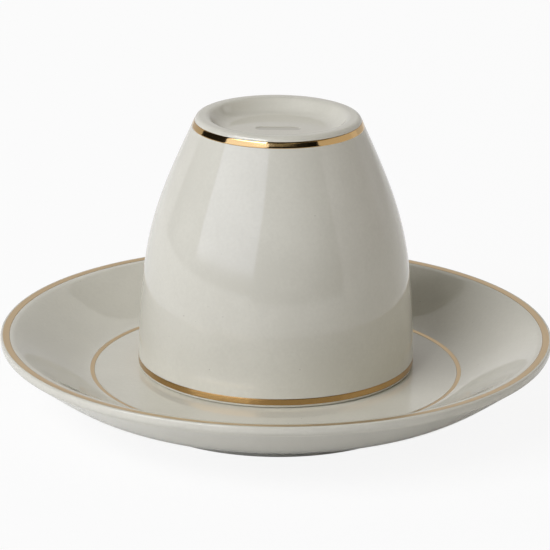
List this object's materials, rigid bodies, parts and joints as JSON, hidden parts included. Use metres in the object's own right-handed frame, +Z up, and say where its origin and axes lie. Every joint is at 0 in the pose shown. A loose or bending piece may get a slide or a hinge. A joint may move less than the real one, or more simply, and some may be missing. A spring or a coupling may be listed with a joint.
{
  "type": "coffee cup and saucer",
  "caption": "Small porcelain coffee cup without a handle, standing mouth down on its matching saucer, both edged with thin gold lines.",
  "frame": {"origin": "centre of the saucer's foot ring, on the surface that it stands on", "axes": "+Z up; +Y towards the back, where the cup stands set back on the saucer; +X to the right as seen from the front"},
  "size_m": [0.12, 0.12, 0.0645],
  "materials": {
    "cream_glaze": "glossy cream glaze with faint specks",
    "cup_gold": "bright fired-on gold line with fine brush marks",
    "saucer_gold": "soft fired-on gold line"
  },
  "bodies": {
    "saucer": {"saucer_body": "cream_glaze", "saucer_rim_line": "saucer_gold", "saucer_well_line": "saucer_gold"},
    "cup": {"cup_body": "cream_glaze", "cup_foot_line": "cup_gold", "cup_mouth_line": "cup_gold"}
  },
  "joints": [
    {"name": "cup_lift", "type": "slide", "parent": "saucer", "child": "cup", "axis": [0, 0, 1], "range_m": [0, 0.08]}
  ]
}
